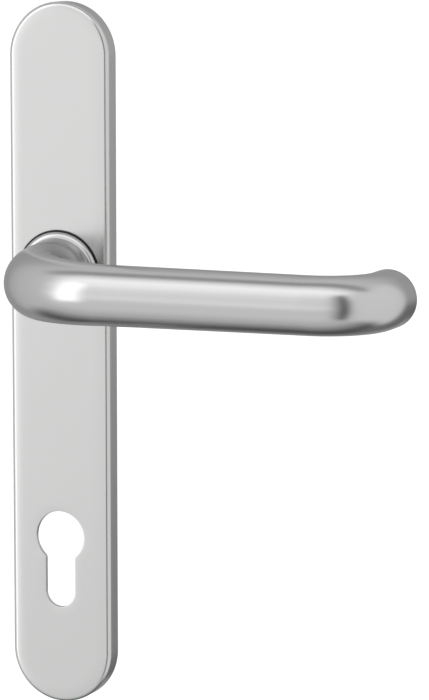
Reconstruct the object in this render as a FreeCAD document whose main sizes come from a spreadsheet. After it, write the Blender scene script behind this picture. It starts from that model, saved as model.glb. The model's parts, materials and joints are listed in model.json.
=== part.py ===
"""Lever handle on a long narrow backplate with a euro-profile cut-out: the outer half of a door set.

Millimetres, +Z up. The origin is on the spindle's axis, in the plate's back face, which rests on the door.
The plate's face looks along -Y and the grip points along +X.
"""

import FreeCAD, Part
import math
import os

import Sketcher
from FreeCAD import Placement, Rotation, Vector

DOC = FreeCAD.newDocument("LeverOnBackplate")
SHEET = DOC.addObject("Spreadsheet::Sheet", "Dimensions")

# Every size that drives the model. Depths are counted from the back face, forwards or backwards.
DIMENSIONS = {
    "plate_width": 37.0,
    "plate_top": 94.0,
    "plate_bottom": 151.0,
    "plate_depth": 8.0,
    "front_wall": 1.5,
    "side_wall": 1.8,
    "front_edge": 2.0,
    "opening_radius": 15.6,
    "keyhole_drop": 92.0,
    "keyhole_radius": 9.0,
    "keyhole_slot": 11.0,
    "keyhole_end": 117.0,
    "keyhole_blend": 1.5,
    "base_depth": 1.2,
    "base_gap": 0.1,
    "base_window": 3.5,
    "boss_radius": 3.0,
    "boss_gap": 0.05,
    "screw_radius": 1.5,
    "screw_play": 0.02,
    "screw_clearance": 0.2,
    "screw_head": 2.6,
    "screw_length": 5.2,
    "screw_spare": 0.5,
    "screw_spread": 11.0,
    "screw_high": 60.0,
    "screw_middle": 54.0,
    "screw_low": 123.0,
    "hexagon_radius": 1.15,
    "hexagon_depth": 0.9,
    "post_high": 79.0,
    "post_low": 136.0,
    "post_radius": 4.0,
    "post_flange": 6.0,
    "post_flange_depth": 1.5,
    "post_reach": 12.0,
    "post_bore": 2.1,
    "collar_radius": 15.0,
    "collar_back": 6.0,
    "collar_edge": 1.9,
    "collar_front": 10.1,
    "neck_radius": 12.4,
    "neck_start": 14.0,
    "neck_overlap": 1.0,
    "hub_radius": 8.0,
    "hub_reach": 5.5,
    "grip_radius": 10.15,
    "tip_bar_radius": 9.8,
    "grip_depth": 54.0,
    "grip_length": 127.5,
    "elbow_radius": 38.0,
    "tip_radius": 18.5,
    "tip_gap": 19.0,
    "spindle_side": 8.0,
    "socket_side": 8.1,
    "socket_depth": 22.0,
    "spindle_gap": 0.5,
    "spindle_reach": 26.0,
    "spindle_chamfer": 0.8,
    "pin_radius": 1.25,
    "pin_length": 15.6,
    "pin_back": 1.0,
    "bush_inner": 8.06,
    "bush_outer": 10.2,
    "bush_front": 4.85,
    "bush_back": 2.6,
    "guide_inner": 15.06,
    "guide_outer": 15.55,
    "guide_flange": 16.5,
    "guide_front": 7.6,
    "guide_flange_depth": 0.5,
    "drive_inner": 8.03,
    "drive_outer": 11.2,
    "drive_front": 5.95,
    "drive_depth": 1.0,
    "drive_arm": 15.2,
    "drive_arm_width": 5.0,
    "dog_inner": 9.0,
    "dog_outer": 10.8,
    "dog_width": 4.0,
    "dog_reach": 1.2,
    "dog_play": 0.1,
    "dog_spare": 0.1,
    "tab_inner": 12.9,
    "tab_outer": 14.1,
    "tab_width": 4.0,
    "tab_back": 1.4,
    "wire_radius": 0.55,
    "coil_radius": 11.5,
    "coil_pitch": 1.18,
    "leg_end": 16.2,
    "abutment_inner": 14.4,
    "abutment_outer": 19.0,
    "abutment_gap": 0.1,
    "stop_radius": 1.5,
    "stop_circle": 14.2,
    "stop_play": 0.06,
    "stop_recess": 0.05,
    "travel_angle": 45.0,
    "washer_outer": 11.0,
    "washer_front": 2.65,
    "washer_depth": 0.5,
    "ring_inner": 7.2,
    "ring_outer": 10.2,
    "ring_front": 3.2,
    "ring_depth": 1.0,
    "ring_mouth": 7.0,
    "groove_play": 0.05,
}

for row, (alias, value) in enumerate(DIMENSIONS.items(), start=1):
    SHEET.set(f"A{row}", alias)
    SHEET.set(f"B{row}", str(value))
    SHEET.setAlias(f"B{row}", alias)
DOC.recompute()

# Turns a primitive's own +Z axis to +Y, along the spindle.
ALONG_Y = Rotation(Vector(1, 0, 0), -90)
SUBPARTS = []


def size(alias):
    """A driving dimension's value, for a Part::Feature or a first guess in a sketch."""
    return float(SHEET.get(alias))


def bound(text):
    """An expression with each driving dimension's alias written as a cell reference."""
    words = sorted(DIMENSIONS, key=len, reverse=True)
    for word in words:
        text = text.replace(word, "\0" + str(words.index(word)) + "\0")
    for index, word in enumerate(words):
        text = text.replace("\0" + str(index) + "\0", "Dimensions." + word)
    return text


def bind(thing, **expressions):
    """Binds properties to expressions; a double underscore in a name stands for a dot."""
    for name, text in expressions.items():
        thing.setExpression(name.replace("__", "."), bound(text))


def place(thing, x="0", y="0", z="0"):
    bind(thing, Placement__Base__x=f"1 mm * ({x})", Placement__Base__y=f"1 mm * ({y})",
         Placement__Base__z=f"1 mm * ({z})")
    return thing


def name_node(thing, label):
    """Marks a finished object as a sub-part, under the name of its file."""
    thing.Label = label
    SUBPARTS.append(thing)
    return thing


# ---- Part workbench helpers -------------------------------------------------------------------------

def cylinder(name, radius, length, x="0", y="0", z="0"):
    """A cylinder along +Y that starts at y."""
    made = DOC.addObject("Part::Cylinder", name)
    bind(made, Radius=radius, Height=length)
    made.Placement = Placement(Vector(), ALONG_Y)
    return place(made, x, y, z)


def cone(name, back_radius, front_radius, length, x="0", y="0", z="0"):
    """A cone along +Y from front_radius at y to back_radius."""
    made = DOC.addObject("Part::Cone", name)
    bind(made, Radius1=front_radius, Radius2=back_radius, Height=length)
    made.Placement = Placement(Vector(), ALONG_Y)
    return place(made, x, y, z)


def block(name, x_size, y_size, z_size, x="0", y="0", z="0"):
    """A box whose lowest corner is at x, y, z."""
    made = DOC.addObject("Part::Box", name)
    bind(made, Length=x_size, Width=y_size, Height=z_size)
    return place(made, x, y, z)


def fuse(name, pieces):
    made = DOC.addObject("Part::MultiFuse", name)
    made.Shapes = pieces
    return made


def cut(name, base, tool):
    made = DOC.addObject("Part::Cut", name)
    made.Base = base
    made.Tool = tool
    return made


# ---- PartDesign helpers -----------------------------------------------------------------------------

def new_body(name):
    return DOC.addObject("PartDesign::Body", name)


def new_sketch(body, name, depth="0", plane="XZ_Plane"):
    """A sketch on one of the body's own planes. On XZ_Plane it looks along +Y, depth in front of it."""
    sketch = body.newObject("Sketcher::SketchObject", name)
    origin = [f for f in body.Origin.OriginFeatures if f.Role == plane][0]
    sketch.AttachmentSupport = [(origin, "")]
    sketch.MapMode = "FlatFace"
    bind(sketch, AttachmentOffset__Base__z=f"1 mm * ({depth})")
    return sketch


def limit(sketch, kind, *args, expression):
    """Adds a constraint and binds its value."""
    index = sketch.addConstraint(Sketcher.Constraint(kind, *args))
    sketch.setExpression(f"Constraints[{index}]", bound(f"1 mm * ({expression})"))


def draw_circle(sketch, radius, across="0", up="0", guess=(5.0, 0.0, 0.0)):
    """A circle; guess is its first radius and centre, which the constraints then correct."""
    start_radius, start_x, start_z = guess
    axis = Vector(0, 0, 1)
    circle = sketch.addGeometry(Part.Circle(Vector(start_x, start_z, 0), axis, start_radius))
    limit(sketch, "Radius", circle, start_radius, expression=radius)
    if across == "0":
        sketch.addConstraint(Sketcher.Constraint("PointOnObject", circle, 3, -2))
    else:
        limit(sketch, "DistanceX", -1, 1, circle, 3, start_x, expression=across)
    if up == "0":
        sketch.addConstraint(Sketcher.Constraint("PointOnObject", circle, 3, -1))
    else:
        limit(sketch, "DistanceY", -1, 1, circle, 3, start_z, expression=up)


def draw_slot(sketch, radius, top, bottom, guess):
    """An upright slot with round ends on the sketch's vertical axis, between the ends' centres."""
    r, high, low = guess
    axis = Vector(0, 0, 1)
    upper = Part.ArcOfCircle(Part.Circle(Vector(0, high, 0), axis, r), 0, math.pi)
    lower = Part.ArcOfCircle(Part.Circle(Vector(0, low, 0), axis, r), math.pi, 2 * math.pi)
    left = Part.LineSegment(Vector(-r, high, 0), Vector(-r, low, 0))
    right = Part.LineSegment(Vector(r, low, 0), Vector(r, high, 0))
    first = sketch.addGeometry([upper, left, lower, right])[0]
    arc_top, line_left, arc_low, line_right = first, first + 1, first + 2, first + 3
    for one, its_end, other, its_start in (
        (arc_top, 2, line_left, 1),
        (line_left, 2, arc_low, 1),
        (arc_low, 2, line_right, 1),
        (line_right, 2, arc_top, 1),
    ):
        sketch.addConstraint(Sketcher.Constraint("Tangent", one, its_end, other, its_start))
    for arc in (arc_top, arc_low):
        sketch.addConstraint(Sketcher.Constraint("PointOnObject", arc, 3, -2))
    sketch.addConstraint(Sketcher.Constraint("Equal", arc_top, arc_low))
    limit(sketch, "Radius", arc_top, r, expression=radius)
    limit(sketch, "DistanceY", -1, 1, arc_top, 3, high, expression=top)
    limit(sketch, "DistanceY", arc_low, 3, -1, 1, -low, expression=bottom)


def draw_rectangle(sketch, x_low, x_high, z_low, z_high, guess):
    """A rectangle by its four sides' places; guess is their first values."""
    x0, x1, z0, z1 = guess
    corners = [Vector(x0, z0, 0), Vector(x1, z0, 0), Vector(x1, z1, 0), Vector(x0, z1, 0)]
    lines = [Part.LineSegment(corners[i], corners[(i + 1) % 4]) for i in range(4)]
    first = sketch.addGeometry(lines)[0]
    for i in range(4):
        ends = (first + i, 2, first + (i + 1) % 4, 1)
        sketch.addConstraint(Sketcher.Constraint("Coincident", *ends))
        direction = "Horizontal" if i % 2 == 0 else "Vertical"
        sketch.addConstraint(Sketcher.Constraint(direction, first + i))
    limit(sketch, "DistanceX", -1, 1, first, 1, x0, expression=x_low)
    limit(sketch, "DistanceX", -1, 1, first, 2, x1, expression=x_high)
    limit(sketch, "DistanceY", -1, 1, first, 1, z0, expression=z_low)
    limit(sketch, "DistanceY", -1, 1, first + 2, 1, z1, expression=z_high)


def pad(body, sketch, name, length):
    """Pads a sketch forwards, towards -Y."""
    made = body.newObject("PartDesign::Pad", name)
    made.Profile = sketch
    bind(made, Length=f"1 mm * ({length})")
    DOC.recompute()
    return made


def pocket(body, sketch, name, length=None):
    """Cuts a sketch forwards, towards -Y, to a length or right through."""
    before = body.Shape.Volume
    made = body.newObject("PartDesign::Pocket", name)
    made.Profile = sketch
    made.Reversed = True
    if length is None:
        made.Type = "ThroughAll"
    else:
        bind(made, Length=f"1 mm * ({length})")
    DOC.recompute()
    if not body.Shape.Volume < before:
        raise RuntimeError(f"{name} removes nothing")
    return made


def dress(body, kind, name, base, edges, amount):
    """A Fillet or Chamfer on the base's edges that the edges function picks."""
    picked = [f"Edge{i}" for i, edge in enumerate(base.Shape.Edges, start=1) if edges(edge)]
    if not picked:
        raise RuntimeError(f"{name} finds no edge")
    made = body.newObject(f"PartDesign::{kind}", name)
    made.Base = (base, picked)
    bind(made, **{"Radius" if kind == "Fillet" else "Size": f"1 mm * ({amount})"})
    DOC.recompute()
    return made


def lies_at(edge, depth):
    """Whether an edge lies whole in the plane at this depth in front of the back face."""
    return abs(edge.BoundBox.YMin + depth) < 0.01 and abs(edge.BoundBox.YMax + depth) < 0.01


# ---- Places that repeat -----------------------------------------------------------------------------


def signed_size(expression):
    """The value of a driving dimension, or of one with a minus sign before it."""
    return -size(expression[1:]) if expression[0] == "-" else size(expression)


# Each cover screw's place: its name, and X and Z as expressions with a first guess.
SCREWS = []
for level, up in (("upper", "screw_high"), ("middle", "-screw_middle"), ("lower", "-screw_low")):
    for side, across in (("left", "-screw_spread"), ("right", "screw_spread")):
        guesses = (signed_size(across), signed_size(up))
        SCREWS.append((f"{level}_{side}_screw", across, up, *guesses))

POSTS = [(name, up, signed_size(up))
         for name, up in (("upper_fixing_post", "post_high"), ("lower_fixing_post", "-post_low"))]

# The rest stop touches the drive plate's arm when the arm stands upright, the travel stop when it has
# turned by the travel angle. Both stand a stop's radius and a little play from the arm's side.
STOP_OFFSET = "(drive_arm_width / 2 + stop_radius + stop_play)"
STOP_ALONG = f"sqrt(stop_circle ^ 2 - {STOP_OFFSET} ^ 2)"
TURN = "travel_angle * 1 deg"
STOPS = [
    ("rest_stop_pin", f"-{STOP_OFFSET}", STOP_ALONG),
    (
        "travel_stop_pin",
        f"{STOP_ALONG} * sin({TURN}) + {STOP_OFFSET} * cos({TURN})",
        f"{STOP_ALONG} * cos({TURN}) - {STOP_OFFSET} * sin({TURN})",
    ),
]


def stop_guess(index):
    """A stop pin's place as numbers, for its hole's first guess."""
    offset = size("drive_arm_width") / 2 + size("stop_radius") + size("stop_play")
    along = math.sqrt(size("stop_circle") ** 2 - offset ** 2)
    turn = math.radians(size("travel_angle"))
    if index == 0:
        return -offset, along
    return (along * math.sin(turn) + offset * math.cos(turn),
            along * math.cos(turn) - offset * math.sin(turn))


# ---- Cover plate ------------------------------------------------------------------------------------

def draw_outline(sketch, inset):
    r = size("plate_width") / 2
    draw_slot(
        sketch,
        f"plate_width / 2 - {inset}",
        "plate_top - plate_width / 2",
        "plate_bottom - plate_width / 2",
        (r - 1, size("plate_top") - r, r - size("plate_bottom")),
    )


def draw_keyhole_slot(sketch, outset):
    """The straight, round-ended half of the euro profile, from the circle's centre down."""
    r = size("keyhole_slot") / 2
    draw_slot(
        sketch,
        f"keyhole_slot / 2 + {outset}",
        "-keyhole_drop",
        "keyhole_end - keyhole_slot / 2",
        (r, -size("keyhole_drop"), r - size("keyhole_end")),
    )


def draw_keyhole_circle(sketch, outset):
    guess = (size("keyhole_radius"), 0.0, -size("keyhole_drop"))
    draw_circle(sketch, f"keyhole_radius + {outset}", up="-keyhole_drop", guess=guess)


def make_cover_plate():
    body = new_body("CoverPlate")
    sketch = new_sketch(body, "CoverOutline")
    draw_outline(sketch, "0")
    solid = pad(body, sketch, "CoverPad", "plate_depth")
    front = size("plate_depth")
    dress(body, "Fillet", "FrontEdge", solid, lambda e: lies_at(e, front), "front_edge")
    sketch = new_sketch(body, "HollowOutline")
    draw_outline(sketch, "side_wall")
    pocket(body, sketch, "Hollow", "plate_depth - front_wall")
    inner = "base_depth + boss_gap"
    reach = "plate_depth - front_wall / 2 - base_depth - boss_gap"
    sketch = new_sketch(body, "Bosses", inner)
    for _, x, z, guess_x, guess_z in SCREWS:
        draw_circle(sketch, "boss_radius", x, z, (size("boss_radius"), guess_x, guess_z))
    pad(body, sketch, "BossPad", reach)
    sketch = new_sketch(body, "ScrewHoles")
    for _, x, z, guess_x, guess_z in SCREWS:
        draw_circle(sketch, "screw_radius", x, z, (size("screw_radius"), guess_x, guess_z))
    pocket(body, sketch, "ScrewPocket", "screw_length + screw_spare")
    sketch = new_sketch(body, "LeverOpening")
    draw_circle(sketch, "opening_radius", guess=(size("opening_radius"), 0.0, 0.0))
    pocket(body, sketch, "LeverOpeningPocket")
    sketch = new_sketch(body, "KeyholeCircle")
    draw_keyhole_circle(sketch, "0")
    pocket(body, sketch, "KeyholeCirclePocket")
    sketch = new_sketch(body, "KeyholeSlot")
    draw_keyhole_slot(sketch, "0")
    solid = pocket(body, sketch, "KeyholeSlotPocket")

    def is_waist(edge):
        """The upright-to-the-face edges where the slot leaves the circle."""
        box = edge.BoundBox
        half = size("keyhole_slot") / 2
        drop = math.sqrt(size("keyhole_radius") ** 2 - half ** 2) + size("keyhole_drop")
        near = abs(abs(box.Center.x) - half) < 0.05 and abs(box.Center.z + drop) < 0.05
        return near and box.YLength > 1 and box.XLength < 0.01

    dress(body, "Fillet", "KeyholeBlend", solid, is_waist, "keyhole_blend")
    return name_node(body, "cover_plate")


# ---- Base plate and what it carries -----------------------------------------------------------------

def make_base_plate():
    hole_radius = size("screw_radius") + size("screw_clearance")
    body = new_body("BasePlate")
    sketch = new_sketch(body, "BaseOutline")
    draw_outline(sketch, "side_wall - base_gap")
    draw_circle(sketch, "bush_outer", guess=(size("bush_outer"), 0.0, 0.0))
    for _, x, z, guess_x, guess_z in SCREWS:
        draw_circle(sketch, "screw_radius + screw_clearance", x, z, (hole_radius, guess_x, guess_z))
    for _, z, guess_z in POSTS:
        draw_circle(sketch, "post_radius", up=z, guess=(size("post_radius"), 0.0, guess_z))
    for index, (_, x, z) in enumerate(STOPS):
        draw_circle(sketch, "stop_radius", x, z, (size("stop_radius"), *stop_guess(index)))
    pad(body, sketch, "BasePad", "base_depth")
    sketch = new_sketch(body, "WindowCircle")
    draw_keyhole_circle(sketch, "base_window")
    pocket(body, sketch, "WindowCirclePocket")
    sketch = new_sketch(body, "WindowSlot")
    draw_keyhole_slot(sketch, "base_window")
    solid = pocket(body, sketch, "WindowSlotPocket")

    def is_countersunk(edge):
        round_edge = hasattr(edge.Curve, "Radius") and abs(edge.Curve.Radius - hole_radius) < 0.01
        return round_edge and lies_at(edge, 0.0)

    sink = "screw_head - screw_radius - screw_clearance / 2"
    dress(body, "Chamfer", "Countersinks", solid, is_countersunk, sink)
    return name_node(body, "base_plate")


def make_screw(label, x, z):
    """A countersunk screw, its head flush with the back face and its shank reaching forwards."""
    shank_radius = "screw_radius - screw_play"
    rise = "(screw_head - screw_radius)"
    head = cone(label + "Head", "screw_head", shank_radius, rise, x, f"-{rise}", z)
    shank = cylinder(label + "Shank", shank_radius, f"screw_length - {rise} / 2", x, "-screw_length", z)
    socket = DOC.addObject("Part::Prism", label + "Socket")
    socket.Polygon = 6
    bind(socket, Circumradius="hexagon_radius", Height="hexagon_depth * 2")
    socket.Placement = Placement(Vector(), ALONG_Y)
    place(socket, x, "-hexagon_depth", z)
    return name_node(cut(label + "Cut", fuse(label + "Solid", [head, shank]), socket), label)


def make_post(label, z):
    """A threaded post: flanged inside the base plate, it reaches back into the door."""
    y = "-base_depth - post_flange_depth"
    flange = cylinder(label + "Flange", "post_flange", "post_flange_depth", y=y, z=z)
    length = "base_depth + post_flange_depth + post_reach"
    shank = cylinder(label + "Shank", "post_radius", length, y=y, z=z)
    bore = cylinder(label + "Bore", "post_bore", f"{length} + 2", y=f"{y} - 1", z=z)
    return name_node(cut(label + "Cut", fuse(label + "Solid", [flange, shank]), bore), label)


def make_ring(label, inner, outer, length, y):
    """A plain ring on the spindle's axis."""
    solid = cylinder(label + "Outside", outer, length, y=y)
    hole = cylinder(label + "Inside", inner, f"{length} + 2", y=f"{y} - 1")
    return cut(label + "Ring", solid, hole)


def make_guide_bush():
    """The plastic lining of the lever opening: a thin sleeve with a flange behind the front wall."""
    back = "-(plate_depth - front_wall - guide_flange_depth)"
    sleeve = cylinder("GuideSleeve", "guide_outer", f"guide_front + {back}", y="-guide_front")
    front = "-(plate_depth - front_wall)"
    flange = cylinder("GuideFlange", "guide_flange", "guide_flange_depth", y=front)
    hole = cylinder("GuideHole", "guide_inner", "plate_depth", y="-plate_depth")
    solid = fuse("GuideSolid", [sleeve, flange])
    return name_node(cut("GuideBush", solid, hole), "guide_bush")


def make_stop(label, x, z):
    """A stop pin pressed through the base plate."""
    length = "drive_front - 2 * stop_recess"
    return name_node(cylinder(label, "stop_radius", length, x, "-drive_front + stop_recess", z), label)


def make_abutment():
    """The block between the spring's legs, outside the drive plate's tab."""
    high = "drive_front - drive_depth - abutment_gap - base_depth"
    solid = block("Abutment", "tab_width", high, "abutment_outer - abutment_inner",
                  "-tab_width / 2", f"-base_depth - ({high})", "-abutment_outer")
    return name_node(solid, "spring_abutment")


def make_spring():
    """A torsion spring: two turns and a little, so that its legs cross either side of the tab."""
    wire = size("wire_radius")
    coil = size("coil_radius")
    gap = 0.03
    leg_x = size("tab_width") / 2 + wire + gap
    leg_top = -math.sqrt(coil ** 2 - leg_x ** 2)
    start = math.atan2(leg_top, leg_x)
    end = math.atan2(leg_top, -leg_x)
    turns = 2 + (start - end) / (2 * math.pi)
    pitch = size("coil_pitch")
    first_y = -(size("base_depth") + gap + wire)
    # The coil winds clockwise from the fixed leg, seen from the front, and climbs towards the front.
    steps = round(turns * 24)
    points = []
    for step in range(steps + 1):
        angle = start - 2 * math.pi * turns * step / steps
        climb = pitch * turns * step / steps
        points.append(Vector(coil * math.cos(angle), first_y - climb, coil * math.sin(angle)))
    line = Part.BSplineCurve()
    line.interpolate(points)
    circle = Part.Wire([Part.makeCircle(wire, points[0], line.tangent(line.FirstParameter)[0])])
    pieces = [Part.Wire([line.toShape()]).makePipeShell([circle], True, True)]
    leg_length = size("leg_end") + leg_top
    for x, y in ((leg_x, first_y), (-leg_x, first_y - pitch * turns)):
        pieces.append(Part.makeCylinder(wire, leg_length, Vector(x, y, leg_top), Vector(0, 0, -1)))
        pieces.append(Part.makeSphere(wire, Vector(x, y, leg_top)))
    whole = pieces[0].multiFuse(pieces[1:])
    feature = DOC.addObject("Part::Feature", "ReturnSpring")
    feature.Shape = whole.Solids[0] if len(whole.Solids) == 1 else whole
    feature.Placement = Placement()
    return name_node(feature, "return_spring")


# ---- Lever and what turns with it -------------------------------------------------------------------

def make_lever_bar():
    """The bent bar: out of the collar, round the elbow, along the grip and back at the tip."""
    depth = size("grip_depth")
    length = size("grip_length")
    elbow = size("elbow_radius")
    tip = size("tip_radius")
    half = math.sqrt(0.5)
    start = Vector(0, size("neck_overlap") - size("collar_front"), 0)
    elbow_start = Vector(0, elbow - depth, 0)
    elbow_middle = Vector(elbow * (1 - half), elbow - depth - elbow * half, 0)
    elbow_end = Vector(elbow, -depth, 0)
    tip_start = Vector(length - tip, -depth, 0)
    tip_middle = Vector(length - tip + tip * half, tip - depth - tip * half, 0)
    tip_end = Vector(length, tip - depth, 0)
    end = Vector(length, -size("plate_depth") - size("tip_gap"), 0)
    path = Part.Wire([
        Part.LineSegment(start, elbow_start).toShape(),
        Part.Arc(elbow_start, elbow_middle, elbow_end).toShape(),
        Part.LineSegment(elbow_end, tip_start).toShape(),
    ])
    neck = size("neck_radius")
    grip = size("grip_radius")
    narrow = size("tip_bar_radius")
    along_x = Vector(1, 0, 0)
    sections = [
        (start, Vector(0, -1, 0), neck),
        (elbow_start, Vector(0, -1, 0), neck),
        (elbow_middle, Vector(half, -half, 0), (neck + grip) / 2),
        (elbow_end, along_x, grip),
        (tip_start, along_x, narrow),
    ]
    maker = Part.BRepOffsetAPI.MakePipeShell(path)
    maker.setFrenetMode(True)
    for centre, normal, radius in sections:
        maker.add(Part.Wire([Part.makeCircle(radius, centre, normal)]))
    maker.build()
    maker.makeSolid()
    tapered = maker.shape()
    tip_path = Part.Wire([
        Part.Arc(tip_start, tip_middle, tip_end).toShape(),
        Part.LineSegment(tip_end, end).toShape(),
    ])
    section = Part.Wire([Part.makeCircle(narrow, tip_start, along_x)])
    returned = tip_path.makePipeShell([section], True, False)
    feature = DOC.addObject("Part::Feature", "LeverBar")
    feature.Shape = tapered.fuse(returned)
    return feature


def make_lever_collar():
    """The collar and hub, turned about the spindle's axis: flare, rounded rim, hub and groove."""
    body = new_body("LeverCollar")
    sketch = new_sketch(body, "CollarProfile", plane="XY_Plane")
    rim = size("collar_radius")
    edge = size("collar_edge")
    front = size("collar_front")
    back = size("collar_back")
    neck = size("neck_radius")
    flare_end = size("neck_start")
    hub = size("hub_radius")
    reach = size("hub_reach")
    ring_low = size("ring_front") - size("groove_play")
    ring_high = size("ring_front") + size("ring_depth") + size("groove_play")
    ring = size("ring_inner") - size("groove_play")
    # The flare's arc is concave, runs smoothly into the neck and meets the rim's front point.
    flare_out = rim - edge - neck
    flare_along = flare_end - front
    flare = (flare_out ** 2 + flare_along ** 2) / (2 * flare_out)
    flare_turn = math.atan2(flare_along, flare_out - flare)
    points = [
        (0, -flare_end), (0, reach), (hub, reach), (hub, ring_high), (ring, ring_high),
        (ring, ring_low), (hub, ring_low), (hub, -back), (rim, -back), (rim, edge - front),
        (rim - edge, -front), (neck, -flare_end),
    ]
    names = {
        2: ("hub_radius", "hub_reach"),
        4: ("ring_inner - groove_play", "ring_front + ring_depth + groove_play"),
        6: ("hub_radius", "ring_front - groove_play"),
        8: ("collar_radius", "-collar_back"),
        9: (None, "collar_edge - collar_front"),
        10: ("collar_radius - collar_edge", "-collar_front"),
        11: ("neck_radius", "-neck_start"),
    }
    axis = Vector(0, 0, 1)
    count = len(points)
    for i in range(count):
        x0, y0 = points[i]
        x1, y1 = points[(i + 1) % count]
        if i == 9:
            circle = Part.Circle(Vector(rim - edge, edge - front, 0), axis, edge)
            sketch.addGeometry(Part.ArcOfCircle(circle, -math.pi / 2, 0))
        elif i == 10:
            circle = Part.Circle(Vector(neck + flare, -flare_end, 0), axis, flare)
            sketch.addGeometry(Part.ArcOfCircle(circle, flare_turn, math.pi))
        else:
            sketch.addGeometry(Part.LineSegment(Vector(x0, y0, 0), Vector(x1, y1, 0)))
    # The rim's arc runs from its front point back to its outermost point, against the outline.
    starts = {i: (i, 2 if i == 9 else 1) for i in range(count)}
    ends = {i: (i, 1 if i == 9 else 2) for i in range(count)}
    for i in range(count):
        # Where the side runs into the rim's arc, the constraint that joins them is also tangent.
        join = "Tangent" if i == 8 else "Coincident"
        sketch.addConstraint(Sketcher.Constraint(join, *ends[i], *starts[(i + 1) % count]))
    for i in (1, 3, 5, 7, 11):
        sketch.addConstraint(Sketcher.Constraint("Horizontal", i))
    for i in (2, 4, 6, 8):
        sketch.addConstraint(Sketcher.Constraint("Vertical", i))
    sketch.addConstraint(Sketcher.Constraint("PointOnObject", 0, 1, -2))
    sketch.addConstraint(Sketcher.Constraint("PointOnObject", 0, 2, -2))
    for i, (x, y) in names.items():
        if x is not None:
            limit(sketch, "DistanceX", -1, 1, *starts[i], points[i][0], expression=x)
        if y is not None and i != 9:
            limit(sketch, "DistanceY", -1, 1, *starts[i], points[i][1], expression=y)
    limit(sketch, "Radius", 9, edge, expression="collar_edge")
    sketch.addConstraint(Sketcher.Constraint("Horizontal", 10, 3, 10, 2))
    turned = body.newObject("PartDesign::Revolution", "CollarRevolution")
    turned.Profile = sketch
    turned.ReferenceAxis = (sketch, ["V_Axis"])
    turned.Angle = 360.0
    DOC.recompute()
    return body


def make_lever_handle():
    """Bar and collar in one piece, with the spindle's socket, the pin's hole and the dogs' slots."""
    solid = fuse("LeverSolid", [make_lever_bar(), make_lever_collar()])
    socket = block("SpindleSocket", "socket_side", "socket_depth + hub_reach + 1", "socket_side",
                   "-socket_side / 2", "-socket_depth", "-socket_side / 2")
    pin_hole = DOC.addObject("Part::Cylinder", "PinHole")
    bind(pin_hole, Radius="pin_radius", Height="hub_radius * 2 + 2")
    place(pin_hole, y="pin_back", z="-hub_radius - 1")
    slots = []
    for side, sign in (("Left", "-"), ("Right", "")):
        middle = f"{sign}(dog_inner + dog_outer) / 2"
        wide = "dog_outer - dog_inner + 2 * dog_play"
        deep = "dog_reach + 2 * dog_spare"
        slots.append(block("DogSlot" + side, wide, deep, "dog_width + 2 * dog_play",
                           f"{middle} - ({wide}) / 2", "-collar_back - dog_reach - dog_spare",
                           "-dog_width / 2 - dog_play"))
    tools = fuse("LeverCuts", [socket, pin_hole, *slots])
    return name_node(cut("LeverHandle", solid, tools), "lever_handle")


def make_spindle():
    side = "spindle_side"
    bar = block("SpindleBar", side, "socket_depth - spindle_gap + spindle_reach", side,
                "-spindle_side / 2", "-socket_depth + spindle_gap", "-spindle_side / 2")
    hole = DOC.addObject("Part::Cylinder", "SpindleHole")
    bind(hole, Radius="pin_radius", Height="spindle_side + 2")
    place(hole, y="pin_back", z="-spindle_side / 2 - 1")
    eased = DOC.addObject("Part::Chamfer", "SpindleEnd")
    eased.Base = bar
    DOC.recompute()
    far = size("spindle_reach")
    picked = [i for i, e in enumerate(bar.Shape.Edges, start=1) if e.BoundBox.YMin > far - 0.01]
    ease = size("spindle_chamfer")
    eased.Edges = [(i, ease, ease) for i in picked]
    return name_node(cut("Spindle", eased, hole), "spindle")


def make_spindle_pin():
    pin = DOC.addObject("Part::Cylinder", "SpindlePin")
    bind(pin, Radius="pin_radius", Height="pin_length")
    place(pin, y="pin_back", z="-pin_length / 2")
    return name_node(pin, "spindle_pin")


def make_drive_plate():
    """A ring with an arm for the stops, a tab bent back for the spring and two dogs for the lever."""
    body = new_body("DrivePlate")
    rear = "drive_front - drive_depth"
    sketch = new_sketch(body, "DriveRing", rear)
    draw_circle(sketch, "drive_outer", guess=(size("drive_outer"), 0.0, 0.0))
    pad(body, sketch, "DriveRingPad", "drive_depth")
    half = size("drive_arm_width") / 2
    inner = (size("drive_inner") + size("drive_outer")) / 2
    middle = "(drive_inner + drive_outer) / 2"
    sketch = new_sketch(body, "DriveArm", rear)
    draw_rectangle(sketch, "-drive_arm_width / 2", "drive_arm_width / 2", middle, "drive_arm",
                   (-half, half, inner, size("drive_arm")))
    pad(body, sketch, "DriveArmPad", "drive_depth")
    half = size("tab_width") / 2
    sketch = new_sketch(body, "TabFoot", rear)
    draw_rectangle(sketch, "-tab_width / 2", "tab_width / 2", "-tab_outer", f"-{middle}",
                   (-half, half, -size("tab_outer"), -inner))
    pad(body, sketch, "TabFootPad", "drive_depth")
    sketch = new_sketch(body, "Tab", "tab_back")
    draw_rectangle(sketch, "-tab_width / 2", "tab_width / 2", "-tab_outer", "-tab_inner",
                   (-half, half, -size("tab_outer"), -size("tab_inner")))
    pad(body, sketch, "TabPad", f"{rear} + drive_depth / 2 - tab_back")
    half = size("dog_width") / 2
    for side, low, high in (("Right", "dog_inner", "dog_outer"), ("Left", "-dog_outer", "-dog_inner")):
        ends = sorted((size("dog_inner"), size("dog_outer")))
        guess = ends if side == "Right" else (-ends[1], -ends[0])
        sketch = new_sketch(body, "Dog" + side, f"{rear} + drive_depth / 2")
        draw_rectangle(sketch, low, high, "-dog_width / 2", "dog_width / 2",
                       (*guess, -half, half))
        pad(body, sketch, "DogPad" + side, "dog_reach + drive_depth / 2")
    sketch = new_sketch(body, "DriveHole")
    draw_circle(sketch, "drive_inner", guess=(size("drive_inner"), 0.0, 0.0))
    pocket(body, sketch, "DriveHolePocket")
    return name_node(body, "drive_plate")


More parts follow.
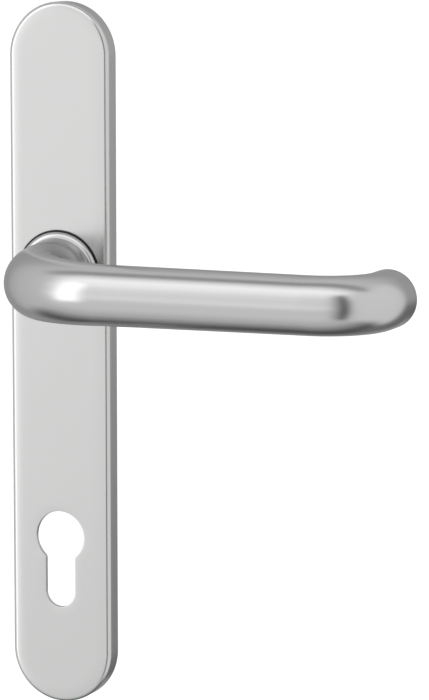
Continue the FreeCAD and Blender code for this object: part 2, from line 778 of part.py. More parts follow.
def make_retaining_ring():
    """An open ring in the hub's groove, its mouth at the bottom."""
    ring = make_ring("Retaining", "ring_inner", "ring_outer", "ring_depth", "ring_front")
    mouth = block("RingMouth", "ring_mouth", "ring_depth + 2", "ring_outer",
                  "-ring_mouth / 2", "ring_front - 1", "-ring_outer - 1")
    return name_node(cut("RetainingRing", ring, mouth), "retaining_ring")


# ---- Assembly ---------------------------------------------------------------------------------------

make_cover_plate()
make_base_plate()
for screw, across, up, _, _ in SCREWS:
    make_screw(screw, across, up)
for post, up, _ in POSTS:
    make_post(post, up)
make_guide_bush()
rear_bush = make_ring("RearBush", "bush_inner", "bush_outer", "bush_front + bush_back", "-bush_front")
name_node(rear_bush, "rear_bush")
for stop, across, up in STOPS:
    make_stop(stop, across, up)
make_abutment()
make_spring()
washer = make_ring("Washer", "bush_inner", "washer_outer", "washer_depth", "washer_front")
name_node(washer, "thrust_washer")
make_lever_handle()
make_spindle()
make_spindle_pin()
make_drive_plate()
make_retaining_ring()
DOC.recompute()

for thing in DOC.Objects:
    if "Invalid" in thing.State or "Error" in thing.State:
        raise RuntimeError(f"{thing.Label} failed: {thing.State}")
os.makedirs("parts", exist_ok=True)
for part in SUBPARTS:
    if part.Shape.isNull() or not part.Shape.isValid():
        raise RuntimeError(f"{part.Label} has no valid shape")
    solids = len(part.Shape.Solids)
    print(f"{part.Label}: {solids} solid, {part.Shape.Volume:.1f} mm3")
    part.Shape.exportStep(os.path.join("parts", part.Label + ".step"))
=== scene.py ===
"""Looks of the lever handle on its long narrow backplate: satin anodised aluminium in soft studio light."""

import json
import math

import bmesh
import bpy
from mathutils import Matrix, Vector
from mathutils.geometry import delaunay_2d_cdt


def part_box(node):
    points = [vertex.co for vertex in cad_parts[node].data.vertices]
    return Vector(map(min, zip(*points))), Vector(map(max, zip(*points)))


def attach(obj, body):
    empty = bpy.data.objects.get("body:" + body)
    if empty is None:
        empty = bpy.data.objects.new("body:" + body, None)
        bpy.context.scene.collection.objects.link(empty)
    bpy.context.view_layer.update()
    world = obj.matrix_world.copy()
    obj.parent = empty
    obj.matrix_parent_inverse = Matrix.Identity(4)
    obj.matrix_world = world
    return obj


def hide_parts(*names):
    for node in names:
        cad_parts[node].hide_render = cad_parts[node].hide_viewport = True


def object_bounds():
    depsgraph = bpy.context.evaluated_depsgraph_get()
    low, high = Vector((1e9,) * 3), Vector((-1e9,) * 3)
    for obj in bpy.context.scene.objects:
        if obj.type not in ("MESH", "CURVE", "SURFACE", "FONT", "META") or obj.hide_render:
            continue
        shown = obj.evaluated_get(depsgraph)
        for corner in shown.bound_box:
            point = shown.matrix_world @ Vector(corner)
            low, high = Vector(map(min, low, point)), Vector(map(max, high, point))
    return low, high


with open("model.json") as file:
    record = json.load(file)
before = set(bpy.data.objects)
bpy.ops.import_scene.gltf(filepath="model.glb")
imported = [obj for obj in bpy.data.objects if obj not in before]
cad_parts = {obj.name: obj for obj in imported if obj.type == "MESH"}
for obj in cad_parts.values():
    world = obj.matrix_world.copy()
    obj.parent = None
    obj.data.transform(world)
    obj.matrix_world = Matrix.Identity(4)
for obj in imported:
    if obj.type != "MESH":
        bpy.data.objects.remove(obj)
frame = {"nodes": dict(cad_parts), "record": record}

CAD_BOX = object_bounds()
MM = 0.001

# ---- Sizes taken from the frame, in millimetres -----------------------------------------------------


def box_mm(node):
    """A node's lowest and highest corners in millimetres."""
    return [Vector(corner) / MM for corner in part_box(node)]


PLATE_LOW, PLATE_HIGH = box_mm("cover_plate")
LEVER_LOW, LEVER_HIGH = box_mm("lever_handle")
RING_LOW, RING_HIGH = box_mm("retaining_ring")
PIN_LOW, PIN_HIGH = box_mm("spindle_pin")
SCREW_NODES = sorted(name for name in frame["nodes"] if name.endswith("_screw"))

# The plate. Depths are negative towards the front, as in the frame.
PLATE_HALF = PLATE_HIGH.x
PLATE_TOP = 94.0
PLATE_BOTTOM = -151.0
PLATE_FRONT = PLATE_LOW.y
FRONT_WALL = 1.5
SIDE_WALL = 1.8
EDGE_RADIUS = 1.9
EDGE_START = math.radians(4.0)
CROWN_WIDTH = 5.0
BACK_EASE = 0.2
SIDE_RINGS = (-4.0, -2.0)
INNER_RING = -3.0
OPENING_RADIUS = 15.6
OPENING_LIP = 0.15
KEYHOLE_Z = -92.0
KEYHOLE_RADIUS = 9.0
KEYHOLE_HALF = 5.5
KEYHOLE_END = -111.5
KEYHOLE_BLEND = 1.5
KEYHOLE_LIP = 0.15
ROLL_WIDTH = 3.2
ROLL_DROP = 0.05
BOSS_RADIUS = 3.0
BOSS_BACK = -1.25
BOSS_BORE = 1.5
BOSS_BORE_END = -5.7
BOSS_STEPS = 48

# The lever. The end of its bend bulges a hair in front of the grip.
ELBOW_BULGE = 0.01
GRIP_RADIUS = 10.15
TIP_BAR_RADIUS = 9.8
NECK_RADIUS = 12.4
NECK_START = -14.0
GRIP_Y = LEVER_LOW.y + GRIP_RADIUS + ELBOW_BULGE
GRIP_LENGTH = LEVER_HIGH.x - TIP_BAR_RADIUS
ELBOW_RADIUS = 38.0
TIP_RADIUS = 18.5
TIP_END_Y = -27.0
TIP_EASE = 0.8
COLLAR_RADIUS = 15.0
COLLAR_BACK = -6.0
COLLAR_FRONT = -10.1
COLLAR_EDGE = 1.9
HUB_RADIUS = 8.0
HUB_END = LEVER_HIGH.y
HUB_EASE = 0.3
GROOVE_RADIUS = 7.15
GROOVE_PLAY = 0.05
SOCKET_HALF = 4.05
SOCKET_END = -22.0
DOG_MIDDLE = 9.9
DOG_WIDE = 2.0
DOG_HIGH = 4.2
DOG_SLOT_END = -7.3
CUT_SPARE = 1.0


# ---- Mesh helpers -----------------------------------------------------------------------------------

def arc(centre, radius, start, end, steps, last=True):
    """Points in a plane along an arc; angles in degrees."""
    count = steps + 1 if last else steps
    angles = [math.radians(start + (end - start) * i / steps) for i in range(count)]
    return [(centre[0] + radius * math.cos(a), centre[1] + radius * math.sin(a)) for a in angles]


def run(start, end, steps):
    """Points along a straight run, without its two ends."""
    return [(start[0] + (end[0] - start[0]) * i / steps, start[1] + (end[1] - start[1]) * i / steps)
            for i in range(1, steps)]


def circle(radius, x=0.0, z=0.0, steps=96):
    return arc((x, z), radius, 0, 360, steps, last=False)


def stadium(inset):
    """The plate's outline, as far inside its edge as inset, anticlockwise from the front's right."""
    r = PLATE_HALF - inset
    high = PLATE_TOP - PLATE_HALF
    low = PLATE_BOTTOM + PLATE_HALF
    points = arc((0, high), r, 0, 180, 64)
    points += run((-r, high), (-r, low), 60)
    points += arc((0, low), r, 180, 360, 64)
    points += run((r, low), (r, high), 60)
    return points


def keyhole(outset):
    """The euro profile's outline, grown by outset: circle, blended waist and round-ended slot."""
    blend_x = KEYHOLE_HALF + KEYHOLE_BLEND
    drop = math.sqrt((KEYHOLE_RADIUS + KEYHOLE_BLEND) ** 2 - blend_x ** 2)
    blend_z = KEYHOLE_Z - drop
    lean = math.degrees(math.atan2(drop, blend_x))
    blend = KEYHOLE_BLEND - outset
    half = KEYHOLE_HALF + outset
    points = arc((0, KEYHOLE_Z), KEYHOLE_RADIUS + outset, -lean, 180 + lean, 72)
    if blend > 0:
        points += arc((-blend_x, blend_z), blend, lean, 0, 8)[1:]
    points += run((-half, blend_z), (-half, KEYHOLE_END), 10)
    points += arc((0, KEYHOLE_END), half, 180, 360, 36)
    points += run((half, KEYHOLE_END), (half, blend_z), 10)
    if blend > 0:
        points += arc((blend_x, blend_z), blend, 180, 180 - lean, 8)[:-1]
    return points


def inside(point, outline):
    """Whether a point lies inside a closed outline."""
    x, z = point
    found = False
    for (x0, z0), (x1, z1) in zip(outline, outline[1:] + outline[:1]):
        if (z0 > z) != (z1 > z) and x < x0 + (z - z0) * (x1 - x0) / (z1 - z0):
            found = not found
    return found


def add_ring(bm, outline, depth):
    """Vertices on an outline; depth is a number or a function of a point."""
    level = depth if callable(depth) else lambda point: depth
    return [bm.verts.new(Vector((x, level((x, z)), z)) * MM) for x, z in outline]


def bridge(bm, first, second):
    """Quads between two rings of the same count."""
    count = len(first)
    for i in range(count):
        j = (i + 1) % count
        bm.faces.new((first[i], first[j], second[j], second[i]))


def stack(bm, rings):
    """Quads from each ring to the next."""
    for first, second in zip(rings, rings[1:]):
        bridge(bm, first, second)


def fill_between(bm, outer, holes, extra, depth):
    """A triangulated face inside the outer outline and outside the holes, through the extra points."""
    outlines = [outer, *holes]
    points = []
    edges = []
    for outline in outlines:
        first = len(points)
        points += outline
        edges += [(first + i, first + (i + 1) % len(outline)) for i in range(len(outline))]
    points += extra
    flat, _, triangles, _, _, _ = delaunay_2d_cdt([Vector(p) for p in points], edges, [], 0, 1e-6)
    made = [bm.verts.new(Vector((p.x, depth((p.x, p.y)), p.y)) * MM) for p in flat]
    for triangle in triangles:
        middle = sum((flat[i] for i in triangle), Vector((0, 0))) / 3
        if inside(middle, outer) and not any(inside(middle, hole) for hole in holes):
            bm.faces.new([made[i] for i in triangle])


WELD = 0.002
SHARP_ANGLE = math.radians(35.0)


def new_piece(name, bm):
    """Finishes a mesh: welds it, turns its faces outwards and shades it smooth up to an angle."""
    bmesh.ops.remove_doubles(bm, verts=bm.verts, dist=WELD * MM)
    loose = [v for v in bm.verts if not v.link_faces]
    bmesh.ops.delete(bm, geom=loose, context="VERTS")
    bmesh.ops.recalc_face_normals(bm, faces=bm.faces)
    for face in bm.faces:
        face.smooth = True
    for edge in bm.edges:
        edge.smooth = len(edge.link_faces) < 2 or edge.calc_face_angle(0.0) < SHARP_ANGLE
    mesh = bpy.data.meshes.new(name)
    bm.to_mesh(mesh)
    bm.free()
    piece = bpy.data.objects.new(name, mesh)
    bpy.context.scene.collection.objects.link(piece)
    return piece


# ---- The plate's shell ------------------------------------------------------------------------------

EDGE_INSET = EDGE_RADIUS * (1 - math.sin(EDGE_START))
CROWN_DROP = math.tan(EDGE_START) * (CROWN_WIDTH - EDGE_INSET) / 2

# The lines of points that follow each outline of the face: how many, and how far apart.
EDGE_LINES = 14
EDGE_SPACING = 0.45
EDGE_WIDENING = 0.05
KEYHOLE_LINES = 8
KEYHOLE_FIRST = 0.4
KEYHOLE_SPACING = 0.42
OPENING_LINES = 6
OPENING_FIRST = 0.5
OPENING_SPACING = 0.7
POINT_MARGIN = 0.3


def inset_of(point):
    """How far inside the plate's outline a point lies."""
    x, z = point
    nearest = min(max(z, PLATE_BOTTOM + PLATE_HALF), PLATE_TOP - PLATE_HALF)
    return PLATE_HALF - math.hypot(x, z - nearest)


def keyhole_distance(point):
    """How far outside the euro profile's edge a point lies."""
    x, z = point
    round_part = math.hypot(x, z - KEYHOLE_Z) - KEYHOLE_RADIUS
    nearest = min(max(z, KEYHOLE_END), KEYHOLE_Z)
    slot_part = math.hypot(x, z - nearest) - KEYHOLE_HALF
    return min(round_part, slot_part)


def face_depth(point):
    """The front face's depth: flat, falling gently to its edge and into the punched profile."""
    crown = max(0.0, CROWN_WIDTH - inset_of(point)) / (CROWN_WIDTH - EDGE_INSET)
    roll = max(0.0, 1 - (keyhole_distance(point) - KEYHOLE_LIP) / (ROLL_WIDTH - KEYHOLE_LIP))
    return PLATE_FRONT + CROWN_DROP * crown ** 2 + ROLL_DROP * roll ** 2


def face_points(outer, holes):
    """Points inside the front face, on offset outlines, that carry its crown and rolled edge."""
    candidates = []
    for i in range(EDGE_LINES):
        candidates += stadium(EDGE_INSET + EDGE_SPACING + i * (EDGE_SPACING + EDGE_WIDENING * i))
    for i in range(KEYHOLE_LINES):
        candidates += keyhole(KEYHOLE_LIP + KEYHOLE_FIRST + i * KEYHOLE_SPACING)
    for i in range(OPENING_LINES):
        candidates += circle(OPENING_RADIUS + OPENING_LIP + OPENING_FIRST + i * OPENING_SPACING)
    kept = []
    cells = {}
    for outline in (outer, *holes):
        for x, z in outline:
            cells.setdefault((round(x), round(z)), []).append((x, z))
    for x, z in candidates:
        around = [(round(x) + i, round(z) + j) for i in (-1, 0, 1) for j in (-1, 0, 1)]
        near = [p for cell in around for p in cells.get(cell, [])]
        if any(math.hypot(x - p[0], z - p[1]) < POINT_MARGIN for p in near):
            continue
        if inside((x, z), outer) and not any(inside((x, z), hole) for hole in holes):
            kept.append((x, z))
            cells.setdefault((round(x), round(z)), []).append((x, z))
    return kept


def lip_rings(bm, outline_at, lip, back):
    """Rings of a hole: round its front lip, then straight through the wall."""
    rings = []
    steps = 6
    for i in range(steps + 1):
        turn = math.radians(90) * i / steps
        outset = lip * (1 - math.sin(turn))
        fall = lip * (1 - math.cos(turn))
        rings.append(add_ring(bm, outline_at(outset), lambda p: face_depth(p) + fall))
    for i in (1, 2):
        depth = PLATE_FRONT + lip + (back - PLATE_FRONT - lip) * i / 2
        rings.append(add_ring(bm, outline_at(0.0), depth))
    return rings


def make_cover():
    bm = bmesh.new()
    back_of_wall = PLATE_FRONT + FRONT_WALL
    outer = stadium(EDGE_INSET)
    opening = circle(OPENING_RADIUS + OPENING_LIP)
    profile = keyhole(KEYHOLE_LIP)
    fill_between(bm, outer, [opening, profile], face_points(outer, [opening, profile]), face_depth)
    # The rounded edge, the side and the eased back edge.
    rings = []
    steps = 12
    for i in range(steps + 1):
        turn = EDGE_START + (math.pi / 2 - EDGE_START) * i / steps
        depth = PLATE_FRONT + CROWN_DROP + EDGE_RADIUS * (math.cos(EDGE_START) - math.cos(turn))
        rings.append(add_ring(bm, stadium(EDGE_RADIUS * (1 - math.sin(turn))), depth))
    side = [(0, depth) for depth in (*SIDE_RINGS, -BACK_EASE)]
    side += [(BACK_EASE, 0), (SIDE_WALL - BACK_EASE, 0)]
    side += [(SIDE_WALL, depth) for depth in (-BACK_EASE, INNER_RING, back_of_wall)]
    for inset, depth in side:
        rings.append(add_ring(bm, stadium(inset), depth))
    stack(bm, rings)
    stack(bm, lip_rings(bm, lambda out: circle(OPENING_RADIUS + out), OPENING_LIP, back_of_wall))
    stack(bm, lip_rings(bm, keyhole, KEYHOLE_LIP, back_of_wall))
    # The inner face with the six bosses that take the cover screws.
    bosses = []
    for node in SCREW_NODES:
        low, high = box_mm(node)
        middle = (low + high) / 2
        bosses.append((middle.x, middle.z))
    holes = [circle(OPENING_RADIUS), keyhole(0.0)]
    holes += [circle(BOSS_RADIUS, x, z, BOSS_STEPS) for x, z in bosses]
    fill_between(bm, stadium(SIDE_WALL), holes, [], lambda p: back_of_wall)
    boss = [(BOSS_RADIUS, back_of_wall), (BOSS_RADIUS, BOSS_BACK - BACK_EASE),
            (BOSS_RADIUS - BACK_EASE, BOSS_BACK), (BOSS_BORE + BACK_EASE, BOSS_BACK),
            (BOSS_BORE, BOSS_BACK - BACK_EASE), (BOSS_BORE, BOSS_BORE_END)]
    for x, z in bosses:
        rings = [add_ring(bm, circle(radius, x, z, BOSS_STEPS), depth) for radius, depth in boss]
        stack(bm, rings)
        bm.faces.new(rings[-1])
    piece = new_piece("plate_shell", bm)
    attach(piece, "plate")
    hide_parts("cover_plate")
    return piece


# ---- The lever --------------------------------------------------------------------------------------

AROUND = 96


def square_radius(angle):
    """The distance to a square socket's wall in a direction."""
    return SOCKET_HALF / max(abs(math.cos(angle)), abs(math.sin(angle)))


def lever_ring(bm, x, y, turn, radius):
    """A ring across the lever's path: turn is the path's angle from -Y towards +X."""
    across = Vector((math.cos(turn), math.sin(turn), 0))
    ring = []
    for i in range(AROUND):
        angle = 2 * math.pi * i / AROUND
        reach = radius(angle) if callable(radius) else radius
        offset = across * math.cos(angle) + Vector((0, 0, math.sin(angle)))
        ring.append(bm.verts.new((Vector((x, y, 0)) + offset * reach) * MM))
    return ring


def bar_radius(along, elbow_length, grip_run):
    """The bar's radius by the distance from the elbow's start: from the neck to the grip to the tip."""
    if along < elbow_length:
        t = along / elbow_length
        return NECK_RADIUS + (GRIP_RADIUS - NECK_RADIUS) * t
    t = min(1.0, (along - elbow_length) / grip_run)
    return GRIP_RADIUS + (TIP_BAR_RADIUS - GRIP_RADIUS) * t


def hub_stations():
    """The socket, hub and collar as places (x, y, turn, radius), from the socket's end outwards."""
    back = RING_HIGH.y + GROOVE_PLAY
    front = RING_LOW.y - GROOVE_PLAY
    steps = 6
    stations = [(0, SOCKET_END + (HUB_END - SOCKET_END) * i / steps, 0, square_radius) for i in range(steps)]
    profile = [(HUB_END, square_radius), (HUB_END, HUB_RADIUS - HUB_EASE), (HUB_END - HUB_EASE, HUB_RADIUS),
               (back, HUB_RADIUS), (back, GROOVE_RADIUS), (front, GROOVE_RADIUS), (front, HUB_RADIUS),
               (front / 2, HUB_RADIUS), (COLLAR_BACK / 2, HUB_RADIUS), (COLLAR_BACK, HUB_RADIUS),
               (COLLAR_BACK, (HUB_RADIUS + COLLAR_RADIUS) / 2), (COLLAR_BACK, COLLAR_RADIUS - HUB_EASE),
               (COLLAR_BACK - HUB_EASE, COLLAR_RADIUS)]
    # The rim turns through a right angle, and the hollow flare runs smoothly into the neck.
    steps = 10
    for i in range(steps + 1):
        turn = math.radians(90) * i / steps
        y = COLLAR_FRONT + COLLAR_EDGE * (1 - math.sin(turn))
        profile.append((y, COLLAR_RADIUS - COLLAR_EDGE * (1 - math.cos(turn))))
    rim = COLLAR_RADIUS - COLLAR_EDGE
    out = rim - NECK_RADIUS
    long = COLLAR_FRONT - NECK_START
    flare = (out ** 2 + long ** 2) / (2 * out)
    steps = 12
    for i in range(1, steps + 1):
        y = COLLAR_FRONT + (NECK_START - COLLAR_FRONT) * i / steps
        profile.append((y, NECK_RADIUS + flare - math.sqrt(flare ** 2 - (y - NECK_START) ** 2)))
    return stations + [(0, y, 0, radius) for y, radius in profile]


def bar_stations():
    """The elbow, the grip and the returned tip as places (x, y, turn, radius)."""
    elbow_y = GRIP_Y + ELBOW_RADIUS
    elbow_length = ELBOW_RADIUS * math.pi / 2
    grip_run = GRIP_LENGTH - TIP_RADIUS - ELBOW_RADIUS
    stations = []
    steps = 48
    for i in range(steps + 1):
        turn = math.radians(90) * i / steps
        x = ELBOW_RADIUS * (1 - math.cos(turn))
        y = elbow_y - ELBOW_RADIUS * math.sin(turn)
        stations.append((x, y, turn, bar_radius(elbow_length * i / steps, elbow_length, grip_run)))
    steps = 36
    for i in range(1, steps + 1):
        along = grip_run * i / steps
        radius = bar_radius(elbow_length + along, elbow_length, grip_run)
        stations.append((ELBOW_RADIUS + along, GRIP_Y, math.pi / 2, radius))
    steps = 40
    for i in range(1, steps + 1):
        turn = math.radians(90) * (1 + i / steps)
        x = GRIP_LENGTH - TIP_RADIUS - TIP_RADIUS * math.cos(turn)
        y = GRIP_Y + TIP_RADIUS - TIP_RADIUS * math.sin(turn)
        stations.append((x, y, turn, TIP_BAR_RADIUS))
    start = GRIP_Y + TIP_RADIUS
    steps = 4
    for i in range(1, steps + 1):
        y = start + (TIP_END_Y - TIP_EASE - start) * i / steps
        stations.append((GRIP_LENGTH, y, math.pi, TIP_BAR_RADIUS))
    steps = 6
    for i in range(1, steps + 1):
        turn = math.radians(90) * i / steps
        y = TIP_END_Y - TIP_EASE * (1 - math.sin(turn))
        stations.append((GRIP_LENGTH, y, math.pi, TIP_BAR_RADIUS - TIP_EASE * (1 - math.cos(turn))))
    for share in (0.75, 0.5, 0.25):
        stations.append((GRIP_LENGTH, TIP_END_Y, math.pi, share * (TIP_BAR_RADIUS - TIP_EASE)))
    return stations


def cut_away(piece, cutter):
    """Takes the cutter's shape out of a piece."""
    modifier = piece.modifiers.new("cut", "BOOLEAN")
    modifier.operation = "DIFFERENCE"
    modifier.solver = "EXACT"
    modifier.object = cutter
    bpy.context.view_layer.update()
    evaluated = piece.evaluated_get(bpy.context.evaluated_depsgraph_get())
    mesh = bpy.data.meshes.new_from_object(evaluated)
    piece.modifiers.clear()
    old = piece.data
    mesh.name = old.name
    piece.data = mesh
    bpy.data.meshes.remove(old)
    bpy.data.objects.remove(cutter)


def make_lever_cutter():
    """The spindle pin's hole and the two slots for the drive plate's dogs, as one solid."""
    bm = bmesh.new()
    radius = PIN_HIGH.x
    reach = HUB_RADIUS + CUT_SPARE
    middle = (PIN_LOW.y + PIN_HIGH.y) / 2
    ends = []
    for z in (-reach, reach):
        ends.append([bm.verts.new(Vector((x, middle + y, z)) * MM) for x, y in circle(radius, steps=32)])
    stack(bm, ends)
    for end in ends:
        bm.faces.new(end)
    for side in (-1, 1):
        corners = []
        for y in (COLLAR_BACK + CUT_SPARE, DOG_SLOT_END):
            x0 = side * DOG_MIDDLE - DOG_WIDE / 2
            x1 = side * DOG_MIDDLE + DOG_WIDE / 2
            flat = ((x0, -DOG_HIGH / 2), (x1, -DOG_HIGH / 2), (x1, DOG_HIGH / 2), (x0, DOG_HIGH / 2))
            corners.append([bm.verts.new(Vector((x, y, z)) * MM) for x, z in flat])
        stack(bm, corners)
        for end in corners:
            bm.faces.new(end)
    return new_piece("lever_cuts", bm)


def make_lever():
    bm = bmesh.new()
    stations = hub_stations() + bar_stations()
    rings = [lever_ring(bm, *station) for station in stations]
    stack(bm, rings)
    bm.faces.new(rings[0])
    bm.faces.new(rings[-1])
    piece = new_piece("lever_u_form", bm)
    cut_away(piece, make_lever_cutter())
    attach(piece, "lever")
    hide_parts("lever_handle")
    return piece


# ---- Materials --------------------------------------------------------------------------------------

def add_node(tree, kind, settings=None, **inputs):
    """A shader node with its settings made; each input is a value or another node's output.

    An input's name is the socket's own, or i and the socket's number where names repeat.
    """
    node = tree.nodes.new(kind)
    for name, value in (settings or {}).items():
        setattr(node, name, value)
    for name, value in inputs.items():
        numbered = name[0] == "i" and name[1:].isdigit()
        socket = node.inputs[int(name[1:]) if numbered else name.replace("_", " ")]
        if isinstance(value, bpy.types.NodeSocket):
            tree.links.new(value, socket)
        else:
            socket.default_value = value
    return node


def math_node(tree, operation, *values):
    inputs = {f"i{index}": value for index, value in enumerate(values)}
    return add_node(tree, "ShaderNodeMath", {"operation": operation}, **inputs).outputs[0]


def spread(tree, value, low, high):
    """Maps a texture's 0 to 1 onto low to high."""
    return add_node(tree, "ShaderNodeMapRange", Value=value, To_Min=low, To_Max=high).outputs[0]


def noise(tree, scale, detail, stretch=(1, 1, 1)):
    """Noise in the object's own metres, stretched along its axes."""
    place = add_node(tree, "ShaderNodeTexCoord").outputs["Object"]
    scaled = add_node(tree, "ShaderNodeMapping", Vector=place, Scale=stretch).outputs[0]
    made = add_node(tree, "ShaderNodeTexNoise", Vector=scaled, Scale=scale, Detail=detail)
    return made.outputs[0]


def tint(tree, value, dark, light):
    """A colour between two, by a value from 0 to 1."""
    made = add_node(tree, "ShaderNodeMix", {"data_type": "RGBA"}, Factor=value)
    made.inputs[6].default_value = (*dark, 1)
    made.inputs[7].default_value = (*light, 1)
    return made.outputs[2]


def new_material(name, metallic):
    material = bpy.data.materials.new(name)
    material.use_nodes = True
    tree = material.node_tree
    shader = tree.nodes["Principled BSDF"]
    shader.inputs["Metallic"].default_value = metallic
    return material, tree, shader


def finish(tree, shader, colour, roughness, height, strength, distance):
    """Links a surface's colour, roughness and relief."""
    tree.links.new(colour, shader.inputs["Base Color"])
    tree.links.new(roughness, shader.inputs["Roughness"])
    bump = add_node(tree, "ShaderNodeBump", Strength=strength, Distance=distance, Height=height)
    tree.links.new(bump.outputs[0], shader.inputs["Normal"])


def satin_anodised(name, along, base):
    """Silver anodised aluminium: an even satin with fine grain, and faint draw lines along the bar."""
    material, tree, shader = new_material(name, 1.0)
    lines = noise(tree, 1400.0, 2.0, along)
    patches = noise(tree, 22.0, 2.0)
    grain = noise(tree, 5200.0, 2.0)
    some_lines = math_node(tree, "MULTIPLY", lines, 0.4)
    some_patches = math_node(tree, "MULTIPLY", patches, 0.6)
    both = math_node(tree, "ADD", some_lines, some_patches)
    dark = tuple(0.965 * c for c in base)
    colour = tint(tree, both, dark, base)
    rough = math_node(tree, "ADD", spread(tree, lines, 0.10, 0.13), spread(tree, patches, 0.10, 0.14))
    shader.inputs["Specular Tint"].default_value = (0.6, 0.6, 0.6, 1)
    relief = math_node(tree, "ADD", grain, math_node(tree, "MULTIPLY", lines, 0.5))
    finish(tree, shader, colour, rough, relief, 0.10, 0.00002)
    return material


def plated_steel(name, base, along=(1, 1, 1)):
    """Zinc-plated steel: bluish bright metal with faint cloudy patches and rolling lines."""
    material, tree, shader = new_material(name, 1.0)
    clouds = noise(tree, 90.0, 4.0)
    lines = noise(tree, 900.0, 3.0, along)
    dark = (base[0] * 0.86, base[1] * 0.87, base[2] * 0.86)
    colour = tint(tree, clouds, dark, base)
    rough = math_node(tree, "ADD", spread(tree, clouds, 0.12, 0.26), spread(tree, lines, 0.08, 0.16))
    finish(tree, shader, colour, rough, lines, 0.15, 0.00004)
    return material


def bright_steel(name, base, rough_low, rough_high):
    """Machined steel: fine turning marks and a little handling haze."""
    material, tree, shader = new_material(name, 1.0)
    marks = noise(tree, 2600.0, 2.0, (1, 6, 1))
    haze = noise(tree, 160.0, 3.0)
    dark = tuple(0.82 * c for c in base)
    colour = tint(tree, haze, dark, base)
    rough = spread(tree, haze, rough_low, rough_high)
    finish(tree, shader, colour, rough, marks, 0.2, 0.00003)
    return material


def moulded_plastic(name, dark, light, rough_low, rough_high):
    """Moulded plastic: fine spark texture with slight flow marks."""
    material, tree, shader = new_material(name, 0.0)
    spark = noise(tree, 3800.0, 3.0)
    flow = noise(tree, 120.0, 2.0, (1, 1, 0.3))
    colour = tint(tree, flow, dark, light)
    rough = spread(tree, spark, rough_low, rough_high)
    finish(tree, shader, colour, rough, spark, 0.25, 0.00003)
    shader.inputs["Specular IOR Level"].default_value = 0.45
    return material


def make_materials():
    """One material for each slot of the record."""
    upright = (1, 1, 0.02)
    across = (0.02, 1, 1)
    return {
        "satin_aluminium": satin_anodised("satin_aluminium", upright, (0.63, 0.63, 0.627)),
        # The lever's copy of the plate's aluminium has a darker base, 0.59 against 0.63: painted shade that
        # keeps the lever darker than the plate under the same light.
        "satin_aluminium_lever": satin_anodised("satin_aluminium_lever", across, (0.59, 0.59, 0.588)),
        "zinc_plated_steel": plated_steel("zinc_plated_steel", (0.66, 0.68, 0.70), upright),
        "post_steel": plated_steel("post_steel", (0.64, 0.66, 0.68), (1, 8, 1)),
        "screw_steel": plated_steel("screw_steel", (0.62, 0.64, 0.66), (1, 8, 1)),
        "spindle_steel": plated_steel("spindle_steel", (0.63, 0.65, 0.67), (1, 0.02, 1)),
        "bright_steel": bright_steel("bright_steel", (0.60, 0.60, 0.61), 0.22, 0.34),
        "spring_steel": bright_steel("spring_steel", (0.34, 0.34, 0.35), 0.30, 0.45),
        "grey_plastic": moulded_plastic("grey_plastic", (0.018, 0.018, 0.019), (0.032, 0.032, 0.034),
                                        0.45, 0.6),
        "bearing_plastic": moulded_plastic("bearing_plastic", (0.66, 0.66, 0.63), (0.78, 0.78, 0.75),
                                           0.35, 0.5),
    }


def dress_nodes(materials, pieces):
    """Gives every CAD node and every piece the material of its slot."""
    slots = {row["node"]: row["material_slot"] for row in frame["record"]["subparts"]}
    for name, node in frame["nodes"].items():
        node.data.materials.clear()
        node.data.materials.append(materials[slots[name]])
    for piece, slot in pieces:
        piece.data.materials.clear()
        piece.data.materials.append(materials[slot])


# ---- Studio -----------------------------------------------------------------------------------------

# The studio's brightness by direction, turned about the X axis: degrees up from the front.
SWEEP = [
    (-180, 0.40), (-165, 0.34), (-148, 0.25), (-132, 0.24), (-120, 0.08), (-106, 0.10),
    (-90, 0.28), (-70, 0.50), (-42, 0.66), (-16, 0.64), (-3, 0.82), (14, 0.72),
    (34, 0.76), (48, 0.96), (62, 1.14), (72, 0.90), (81, 0.66), (88, 0.24),
    (97, 0.24), (106, 0.60), (130, 0.52), (163, 0.42), (180, 0.40),
]
# The ramp's colours stay under one, so it is divided by BRIGHTEST and multiplied again.
BRIGHTEST = 1.5
STRENGTH = 1.39
# Lamps and dark cards, the later over the earlier: azimuth from the front towards +X, elevation,
# softness and brightness.
PANELS = [
    ("left_side", -125, -66, -36, 42, 8, 0.56),
    ("rear_left", -190, -125, -40, 45, 10, 0.46),
    ("soft_lamp", -56, -34, -18, 40, 4, 1.5),
    ("right_side", 56, 147, -50, 50, 9, 0.68),
    ("camera_side", 27, 52, -46, 46, 7, 0.38),
    ("dark_card", 37, 49, -46, 46, 4, 0.02),
    ("rear_right", 147, 190, -60, -9, 7, 0.19),
]


def mask_between(tree, value, low, high, soft):
    """One between low and high, fading to nothing over the softness."""
    settings = {"interpolation_type": "SMOOTHSTEP"}
    rise = add_node(tree, "ShaderNodeMapRange", settings, Value=value, From_Min=low - soft,
                    From_Max=low + soft)
    fall = add_node(tree, "ShaderNodeMapRange", settings, Value=value, From_Min=high - soft,
                    From_Max=high + soft, To_Min=1.0, To_Max=0.0)
    return math_node(tree, "MULTIPLY", rise.outputs[0], fall.outputs[0])


def blend_values(tree, mask, first, second):
    """first where the mask is nothing, second where it is one."""
    return add_node(tree, "ShaderNodeMix", {"data_type": "FLOAT"}, i0=mask, i2=first, i3=second).outputs[0]


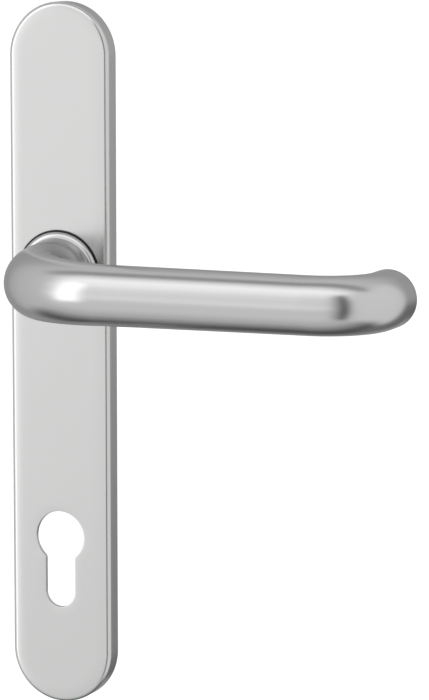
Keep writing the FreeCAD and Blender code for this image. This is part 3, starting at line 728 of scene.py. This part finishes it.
def make_studio():
    world = bpy.data.worlds.new("studio")
    bpy.context.scene.world = world
    world.use_nodes = True
    tree = world.node_tree
    place = add_node(tree, "ShaderNodeTexCoord").outputs["Generated"]
    split = add_node(tree, "ShaderNodeSeparateXYZ", Vector=place)
    x, y, z = split.outputs
    forward = math_node(tree, "MULTIPLY", y, -1.0)
    turn = math_node(tree, "DIVIDE", math_node(tree, "ARCTAN2", z, forward), 2 * math.pi)
    ramp = add_node(tree, "ShaderNodeValToRGB", i0=math_node(tree, "ADD", turn, 0.5))
    stops = ramp.color_ramp
    stops.interpolation = "EASE"
    while len(stops.elements) < len(SWEEP):
        stops.elements.new(0.5)
    for stop, (angle, level) in zip(stops.elements, SWEEP):
        stop.position = angle / 360 + 0.5
        stop.color = (level / BRIGHTEST, level / BRIGHTEST, level / BRIGHTEST, 1)
    level = math_node(tree, "MULTIPLY", ramp.outputs[0], BRIGHTEST)
    azimuth = math_node(tree, "DEGREES", math_node(tree, "ARCTAN2", x, forward))
    elevation = math_node(tree, "DEGREES", math_node(tree, "ARCSINE", z))
    for _name, left, right, low, high, soft, brightness in PANELS:
        sideways = mask_between(tree, azimuth, left, right, soft)
        upright = mask_between(tree, elevation, low, high, soft)
        level = blend_values(tree, math_node(tree, "MULTIPLY", sideways, upright), level, brightness)
    seen = add_node(tree, "ShaderNodeLightPath").outputs["Is Camera Ray"]
    level = blend_values(tree, seen, level, 1.0)
    background = tree.nodes["Background"]
    grey = add_node(tree, "ShaderNodeCombineColor", Red=level, Green=level, Blue=level)
    tree.links.new(grey.outputs[0], background.inputs["Color"])
    strength = blend_values(tree, seen, STRENGTH, 1.0)
    tree.links.new(strength, background.inputs["Strength"])


# In metres.
FLOOR_DROP = 0.06
FLOOR_HALF = 6.0
FLOOR_GLOW = 0.3


def make_floor():
    """A plain white floor, a little below the plate's lower end."""
    bm = bmesh.new()
    level = CAD_BOX[0][2] - FLOOR_DROP
    corners = ((-1, -1), (1, -1), (1, 1), (-1, 1))
    bm.faces.new([bm.verts.new((x * FLOOR_HALF, y * FLOOR_HALF, level)) for x, y in corners])
    mesh = bpy.data.meshes.new("floor")
    bm.to_mesh(mesh)
    bm.free()
    floor = bpy.data.objects.new("floor", mesh)
    bpy.context.scene.collection.objects.link(floor)
    material, tree, shader = new_material("floor_white", 0.0)
    speckle = noise(tree, 40.0, 2.0)
    tree.links.new(tint(tree, speckle, (0.90, 0.90, 0.90), (0.92, 0.92, 0.92)), shader.inputs["Base Color"])
    shader.inputs["Roughness"].default_value = 0.9
    shader.inputs["Emission Color"].default_value = (1, 1, 1, 1)
    shader.inputs["Emission Strength"].default_value = FLOOR_GLOW
    mesh.materials.append(material)
    floor.visible_glossy = False


# ---- Camera -----------------------------------------------------------------------------------------

# Distances in metres; the view's height is measured at the target.
CAMERA_AZIMUTH = math.radians(22.0)
CAMERA_ELEVATION = math.radians(8.0)
CAMERA_DISTANCE = 1.18
VIEW_HEIGHT = 0.2356
SENSOR = 36.0
FAR_CLIP = 20.0
CAMERA_TARGET = Vector((0.0630, -0.02, -0.0213))


def make_camera():
    data = bpy.data.cameras.new("camera")
    camera = bpy.data.objects.new("camera", data)
    bpy.context.scene.collection.objects.link(camera)
    bpy.context.scene.camera = camera
    level = math.cos(CAMERA_ELEVATION)
    across = math.sin(CAMERA_AZIMUTH) * level
    towards = -math.cos(CAMERA_AZIMUTH) * level
    back = Vector((across, towards, math.sin(CAMERA_ELEVATION)))
    camera.location = CAMERA_TARGET + back * CAMERA_DISTANCE
    camera.rotation_mode = "QUATERNION"
    camera.rotation_quaternion = (-back).to_track_quat("-Z", "Y")
    data.sensor_width = SENSOR
    data.lens = SENSOR * CAMERA_DISTANCE / VIEW_HEIGHT
    data.clip_end = FAR_CLIP


# ---- Scene ------------------------------------------------------------------------------------------

cover = make_cover()
lever = make_lever()
dress_nodes(make_materials(), [(cover, "satin_aluminium"), (lever, "satin_aluminium_lever")])
make_studio()
make_floor()
make_camera()
bpy.context.scene.view_settings.view_transform = "Standard"
